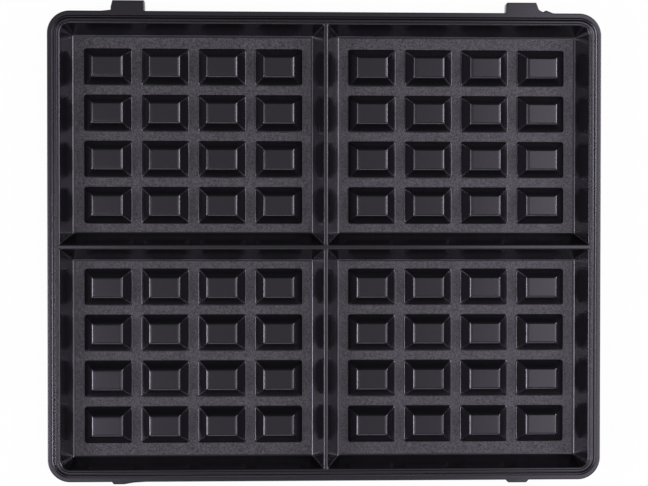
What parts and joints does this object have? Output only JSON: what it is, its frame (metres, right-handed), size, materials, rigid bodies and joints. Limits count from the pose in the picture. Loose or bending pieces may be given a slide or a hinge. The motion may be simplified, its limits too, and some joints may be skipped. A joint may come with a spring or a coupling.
{
  "type": "waffle plate",
  "caption": "Removable die-cast waffle plate for a hinged sandwich maker, with studded cavities, a grooved rim and locating lugs under a black non-stick coating.",
  "frame": {"origin": "on the plane of the flat back, under the middle of the bounding box with its lugs", "axes": "+Z out of the cooking face, +Y towards the long rear lugs on the hinge side, +X along the long side, to the right seen from above"},
  "size_m": [0.285, 0.2482, 0.014],
  "materials": {
    "cast_aluminium": "as die cast, fine matt skin",
    "nonstick_black": "baked non-stick coating, black, satin, fine texture"
  },
  "bodies": {
    "root": {"plate_casting": "cast_aluminium", "nonstick_coating": "nonstick_black"}
  },
  "joints": []
}
